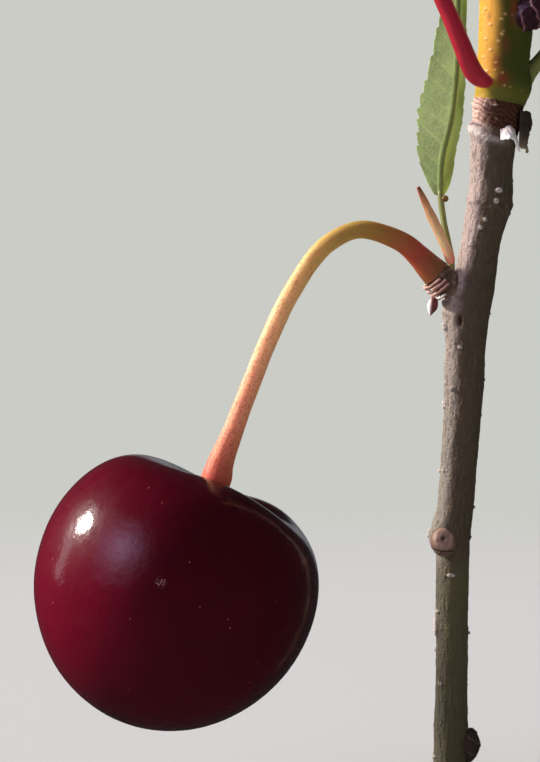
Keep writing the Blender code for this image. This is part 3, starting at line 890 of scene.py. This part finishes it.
class CHERRY_OT_spur_leaf(bpy.types.Operator):
    """Makes the toothed leaf on the spur, folded along its midrib, with its gland and the bract below it"""

    bl_idname = "cherry.spur_leaf"
    bl_label = "Spur leaf"

    def execute(self, context):
        look = context.scene.cherry_leaf
        rows = smooth_route(LEAF_MIDRIB, 40)
        length, vein_spacing = 18.6, 1.7

        def blade(u, v):
            rib = place_between(rows, v)
            side = 2 * u - 1
            half = math.copysign(1, side)
            width, fold = leaf_spread(look, v)
            tooth = (v * look.teeth + 0.35 * ripple(v * 9, 3.1, half)) % 1.0
            small = (v * look.teeth * 3 + 0.3) % 1.0
            edge = abs(side) ** 6 * min(1.0, 4 * v)
            bite = 0.10 * (1 - tooth) ** 1.5 + 0.02 * (1 - small) + 0.03 * ripple(v * 30, side, 0)
            width *= 1 - edge * bite
            turned = math.radians(101.5) - fold * half
            out = Vector((math.cos(turned), math.sin(turned), 0))
            normal = Vector((-out.y, out.x, 0)) * half
            reach = abs(side) * width
            # Side veins leave the midrib vein_spacing millimetres apart and slant towards the tip.
            phase = (v * length - reach * 0.75) / vein_spacing
            vein = bump_at((phase % 1.0) - 0.5, 0.10) * (1 - abs(side) ** 4) * (0 if v > 0.96 else 1)
            midrib = bump_at(reach, 0.22)
            puff = math.cos(TURN * phase) * 0.06 * min(reach, 1.0) * (1 - abs(side) ** 2)
            wave = 0.16 * ripple(v * 5, side * 1.2, 4) * abs(side)
            lift = 0.03 * vein + 0.10 * midrib + 0.4 * puff + wave
            through = 0.9 * clamped(side * 6) * (0.8 + 0.5 * ripple(v * 7, side * 2, 2))
            return rib + out * reach - normal * lift, max(vein * 0.6, midrib), clamped(through)

        mesh = shaped_grid(72, 300, (8.0, length), blade, ("vein", "sunlit"))
        under = leaf_side("leaf_underside", look.under, look.vein, 0.7)
        upper = leaf_side("leaf_upper_side", look.upper, look.vein, 0.38)
        add_sheet("spur_leaf", mesh, [under, upper], "spur_leaf_blade", 0.2)

        def bract(u, v):
            side = 2 * u - 1
            width = (0.06 + 0.24 * (1 - v**6)) * (1 + 0.12 * ripple(v * 8, 0, 1)) * min(1.0, 0.55 + 6 * v)
            curl = (side**2 - 0.5) * width * 0.7 + 0.03 * ripple(u * 3, v * 9, 2)
            spot = place_between(ribs, v) + Vector((side * width * 0.93, curl, side * width * 0.36))
            return spot, abs(side) ** 3 * 0.45, v

        ribs = smooth_route(SPUR_BRACT, 30)
        mesh = shaped_grid(20, 110, (0.6, 5.7), bract, ("rim", "reach"))
        add_sheet("spur_bract_skin", mesh, [withered_bract()], "spur_bract", 0.14)

        def gland(direction):
            dent = bump_at((direction - Vector((0.3, -1, 0.2)).normalized()).length, 0.5)
            spot = direction * Vector((0.27, 0.22, 0.25)) * (1 - 0.2 * dent)
            return Vector((-0.74, -4.38, 44.12)) + spot, 0.6 * bump_at(direction.x + 1, 0.5)

        waxy = dry_scale("waxy_gland", "#94702e", "#b9b06a")
        add_piece("leaf_gland", ball(20, 14, gland, ("rim",)), [waxy], None)
        return {"FINISHED"}


class CHERRY_OT_spur(bpy.types.Operator):
    """Makes the short spur that bears the stalk, the torn scales under it and the bud that hangs there"""

    bl_idname = "cherry.spur"
    bl_label = "Spur"

    def execute(self, context):
        stem = Stem(SPUR, 90)

        def relief(angle, ring, along):
            c, s = math.cos(angle), math.sin(angle)
            rings = abs(math.sin(along * 4.4 + 2.2 * ripple(c * 1.6, s * 1.6, along * 1.5)))
            knobs = ripple(c * 3.2, s * 3.2, along * 2.5)
            # By the twig it takes on the twig's silver.
            silver = clamped((along - 1.2) / 1.2) * 0.8
            pale = max(0.5 * rings**3 * max(0.3 + knobs, 0), silver)
            sunk = 0.42 * clamped((along - 1.1) / 1.3)
            return 0.07 * rings - 0.03 + 0.09 * knobs - sunk, min(pale, 1.0)

        mesh = tube(stem, 80, relief, ("rim",))
        bark = dry_scale("crinkled_spur_bark", "#6a5440", "#a5887a")
        add_piece("spur_bark", mesh, [bark, bark], "fruit_spur")

        scale = dry_scale("torn_bud_scale", "#94503e", "#f0c4ac")
        pale = dry_scale("bleached_bud_scale", "#e0ccb4", "#f4ecdd")
        base, tip = Vector(SPUR[-1][:3]), Vector((-1.41, -6.16, 38.60))
        axis = (tip - base).normalized()
        level = axis.cross(Vector((0, 1, 0))).normalized()
        upright = axis.cross(level)
        for number, (x, z, radius, middle, width, flare) in enumerate(SPUR_TEARS, 1):
            root = Vector((x, -6.02 - 0.12 * (1 - number / 4), z))

            def torn(u, v):
                angle = math.radians(middle + (u - 0.5) * width)
                outward = level * math.cos(angle) + upright * math.sin(angle)
                ragged = 0.8 + 0.5 * ripple(u * 6, number * 5.3, 0)
                taper = math.sin(math.pi * (0.15 + 0.7 * u)) * ragged
                swell = 0.09 * math.sin(math.pi * v) + 0.05 * ripple(u * 5, v * 3, number * 2.2)
                reach = radius + 0.20 + v * flare * taper + swell
                return root + outward * reach + axis * (v * 0.34 * taper - 0.03), v**2.5

            mesh = shaped_grid(40, 12, (2.0, 0.6), torn, ("rim",))
            look = pale if number == len(SPUR_TEARS) else scale
            add_sheet(f"torn_scale_{number}", mesh, [look], f"spur_scale_{number}", 0.15)

        def hanging(direction):
            # Widest where it hangs on, and drawn out to a point below.
            low = max(-direction.z, 0)
            narrow = 1 - 0.62 * low**1.5
            point = direction * Vector((0.38 * narrow, 0.34 * narrow, 0.66))
            point = Matrix.Rotation(math.radians(14), 3, "Y") @ point
            ridge = 0.06 * bump_at(direction.x + 0.1 + 0.5 * direction.z, 0.25)
            # Painted highlight: the side towards the light is painted near white.
            edge = min(1.0, 1.25 * bump_at(direction.x + 0.85 + 0.35 * direction.z, 0.62))
            return Vector((-1.83, -6.95, 36.28)) + point * (1 + ridge), edge

        # Its near-white edge colour is the painted highlight.
        flushed = dry_scale("hanging_bud_scale", "#8e4640", "#fff6f0")
        add_piece("hanging_bud", ball(40, 32, hanging, ("rim",)), [flushed], "spur_bud")
        return {"FINISHED"}


class CHERRY_OT_ring_scales(bpy.types.Operator):
    """Makes the two torn scales that hang from the rings: a dark one and a pale papery one"""

    bl_idname = "cherry.ring_scales"
    bl_label = "Ring scales"

    def execute(self, context):
        def dark(u, v):
            turn = math.radians(-38 + 54 * u)
            spread = 0.72 + 0.33 * math.cos(math.pi * (1.55 * v - 0.25))
            ragged = 0.16 * ripple(u * 4, v * 4, 3) + 0.2 * ripple(2, v * 11, 6)
            torn = 0.30 * ripple(u * 6, 0, 1) + 0.14 * ripple(u * 17, 0, 7)
            drop = 49.95 - (2.62 + torn) * v + 0.2 * (1 - v) * ripple(u * 5, 2, 2)
            curl = 0.35 * bump_at(u - 1, 0.5) * bump_at(v, 0.25)
            reach = 1.97 + (0.05 + 0.74 * u) * spread + ragged * u - curl
            place = Vector((2.62 + reach * math.cos(turn), -7.03 + reach * math.sin(turn), drop))
            return place, max(v**5, 0.8 * bump_at(u - 1, 0.12))

        mesh = shaped_grid(36, 40, (2.2, 2.6), dark, ("rim",))
        brown = dry_scale("dark_torn_scale", "#4a3a2c", "#9a866c")
        add_sheet("dark_ring_scale", mesh, [brown], "ring_scale_dark", 0.13)

        def pale(u, v):
            turn = math.radians(-82 + 34 * u)
            bulge = (0.15 + 0.75 * v) * math.sin(math.pi * min(1.0, u * 1.15 + 0.08)) ** 0.8
            reach = 1.95 + 0.62 * bulge + 0.55 * u * v + 0.12 * ripple(u * 5, v * 3, 8)
            drop = (0.75 + 0.85 * u**1.5) * (1 + 0.2 * ripple(u * 7, 0, 5))
            top = 48.55 + 0.30 * bump_at(u - 0.55, 0.6)
            place = Vector((2.50 + reach * math.cos(turn), -6.90 + reach * math.sin(turn), top - drop * v))
            return place, v**0.7

        mesh = shaped_grid(36, 24, (1.5, 1.3), pale, ("rim",))
        paper = dry_scale("pale_papery_scale", "#e6d3cb", "#fffaf6")
        add_sheet("pale_ring_scale", mesh, [paper], "ring_scale_pale", 0.1)
        return {"FINISHED"}


class CHERRY_OT_buds(bpy.types.Operator):
    """Makes the dark bud on the shoot and the two dormant buds on the twig"""

    bl_idname = "cherry.buds"
    bl_label = "Buds"

    def execute(self, context):
        def scaled_bud(middle, half, lean, turns, step, taper):
            """An egg-shaped bud wrapped in overlapping scales, whose edges wind round it."""

            def place(direction):
                narrow = 1 - taper[0] * max(direction.z, 0) ** 2 - taper[1] * max(-direction.z, 0) ** 1.5
                azimuth = math.atan2(direction.y, direction.x) / TURN
                lap = (direction.z * turns + azimuth * 2 + 0.15 * ripple(*(direction * 2))) % 1.0
                reach = 1 + step * (0.5 - lap)
                reach += 0.04 * ripple(*(direction * 5)) + 0.02 * ripple(*(direction * 13))
                point = direction * Vector((narrow * half[0], narrow * half[1], half[2]))
                leaning = Matrix.Rotation(math.radians(lean), 3, "Y")
                return Vector(middle) + leaning @ (point * reach), bump_at(lap, 0.14) * 0.8

            return ball(96, 72, place, ("rim",))

        dark = dry_scale("glossy_bud_scales", "#43202a", "#b07880", 0.32)
        young = scaled_bud((5.40, -8.75, 57.15), (1.24, 1.12, 2.25), 50, 2.2, step=0.13, taper=(0.35, 0))
        add_piece("shoot_bud_scales", young, [dark], "shoot_bud")
        brown = dry_scale("dormant_bud_scales", "#54402f", "#7c6450")
        old = scaled_bud((1.40, -0.85, 4.15), (0.76, 0.78, 1.28), 4, 1.3, step=0.10, taper=(0.1, 0.55))
        add_piece("right_bud_scales", old, [brown], "dormant_bud_right")

        def knob(direction):
            # Its face, where the old bud broke off, looks out and a little up. A small pit marks the middle.
            face = Vector((-0.06, -0.95, 0.30)).normalized()
            off = (direction - face).length
            height = 0.05 * bump_at(off - 0.62, 0.35) - 0.16 * bump_at(off, 0.24) - 0.06 * bump_at(off, 0.6)
            height += 0.05 * ripple(*(direction * 3.5)) + 0.03 * ripple(*(direction * 10))
            # Painted shadow: a dark line, dented a little, low on the knob where shade falls under it.
            crack = bump_at(direction.z + 0.62 + 0.1 * ripple(direction.x * 4, 0, 3), 0.1)
            point = direction * Vector((0.95, 0.86, 1.06)) * (1 + height - 0.08 * crack)
            pink = bump_at(off - 0.62, 0.42) * (0.75 + 0.5 * ripple(*(direction * 2.5)))
            return Vector((-0.80, -3.80, 19.40)) + point, clamped(pink), max(crack, bump_at(off, 0.2))

        left = ball(96, 72, knob, ("rim", "pit"))
        add_piece("left_bud_knob", left, [swollen_scar()], "dormant_bud_left")
        return {"FINISHED"}


class CHERRY_OT_stage(bpy.types.Operator):
    """Makes the floor, the lights, the surroundings and the camera"""

    bl_idname = "cherry.stage"
    bl_label = "Stage"

    def execute(self, context):
        scene = context.scene
        scene.view_settings.view_transform = "Standard"
        middle = (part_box("cherry")[0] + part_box("cherry")[1]) / 2

        mesh = bmesh.new()
        bmesh.ops.create_circle(mesh, cap_ends=True, segments=96, radius=FLOOR_RADIUS)
        floor = add_mesh("floor", mesh, [pale_floor()])
        # The floor lies just below the lowest piece.
        floor.location = (0, 0, -0.2 * MM)
        floor.visible_glossy = False

        def lamp(name, toward, spread, strength, colour):
            """A soft light from far off, as wide in the sky as spread degrees."""
            sun = bpy.data.lights.new(name, "SUN")
            sun.angle = math.radians(spread)
            sun.energy = strength
            sun.color = linear(colour)[:3]
            add_object(name, sun).rotation_euler = Vector(toward).to_track_quat("Z", "Y").to_euler()

        lamp("key_light", (-0.84, 0.13, 0.50), 9, 5.6, "#fff6ec")
        # Skylight fades towards its edges, so it is laid in rings.
        rings = ((14, 0.08), (22, 0.12), (30, 0.16), (38, 0.18), (46, 0.19), (54, 0.2))
        for number, (spread, strength) in enumerate(rings, 1):
            lamp(f"sky_light_{number}", (-0.66, -0.58, 0.46), spread, strength, "#dccdff")
        lamp("back_light", (0.08, 0.99, 0.06), 22, 0.035, "#f4f6ff")
        # A tall window beside the key light gives the long soft shine on the fruit.
        window = bpy.data.lights.new("window_light", "AREA")
        window.shape = "RECTANGLE"
        window.size, window.size_y = 0.07, 0.22
        window.energy = 0.09
        glow = add_object("window_light", window)
        aim = Vector((-0.87, 0.20, 0.36)).normalized()
        glow.location = middle + aim * WINDOW_DISTANCE
        glow.rotation_euler = aim.to_track_quat("Z", "Y").to_euler()

        world = bpy.data.worlds.new("pale_room")
        scene.world = world
        world.use_nodes = True
        tree = world.node_tree
        back = tree.nodes["Background"]
        back.inputs["Color"].default_value = linear("#dfe0e4")
        seen = add_node(tree, "Background", {"Color": "#d4d6cf", "Strength": 0.9})
        ray = add_node(tree, "LightPath").node.outputs
        # The room is dimmer in reflections than as light, so that the waxed skin isn't hazy.
        dimmed = add_node(tree, "Math", (ray["Is Glossy Ray"], -0.18, 0.22), operation="MULTIPLY_ADD")
        tree.links.new(dimmed, back.inputs["Strength"])
        both = add_node(tree, "MixShader", (ray["Is Camera Ray"], back.outputs[0], seen))
        tree.links.new(both, tree.nodes["World Output"].inputs["Surface"])

        lens = bpy.data.cameras.new("camera")
        lens.lens = 100
        lens.clip_start = 0.005
        camera = add_object("camera", lens)
        # It looks level along +Y, from half the height of the whole.
        camera.location = Vector((-13.32, -156.67, 31.0)) * MM
        camera.rotation_euler = (TURN / 4, 0, 0)
        scene.camera = camera
        return {"FINISHED"}


class CHERRY_PT_panel(bpy.types.Panel):
    """Lists the cherry's settings and the pieces to make"""

    bl_idname = "CHERRY_PT_panel"
    bl_label = "Sour cherry on a twig"
    bl_space_type = "VIEW_3D"
    bl_region_type = "UI"
    bl_category = "Cherry"

    def draw(self, context):
        for settings in (context.scene.cherry_fruit, context.scene.cherry_stems, context.scene.cherry_leaf):
            column = self.layout.column(align=True)
            for name in settings.bl_rna.properties.keys():
                if name not in {"rna_type", "name"}:
                    column.prop(settings, name)
        for step in STEPS:
            self.layout.operator(step.bl_idname)


STEPS = (
    CHERRY_OT_twig, CHERRY_OT_shoot, CHERRY_OT_fruit, CHERRY_OT_fruit_stalk, CHERRY_OT_spur,
    CHERRY_OT_spur_leaf, CHERRY_OT_leaf_stalks, CHERRY_OT_ring_scales, CHERRY_OT_buds, CHERRY_OT_stage,
)
SETTINGS = {"cherry_fruit": FruitSettings, "cherry_stems": StemSettings, "cherry_leaf": LeafSettings}


def register():
    for kind in (*SETTINGS.values(), *STEPS, CHERRY_PT_panel):
        bpy.utils.register_class(kind)
    for name, kind in SETTINGS.items():
        setattr(bpy.types.Scene, name, PointerProperty(type=kind))


def unregister():
    for name in SETTINGS:
        delattr(bpy.types.Scene, name)
    for kind in (CHERRY_PT_panel, *reversed(STEPS), *SETTINGS.values()):
        bpy.utils.unregister_class(kind)


def main():
    register()
    for step in STEPS:
        group, name = step.bl_idname.split(".")
        getattr(getattr(bpy.ops, group), name)()
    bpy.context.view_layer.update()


if __name__ == "__main__":
    main()
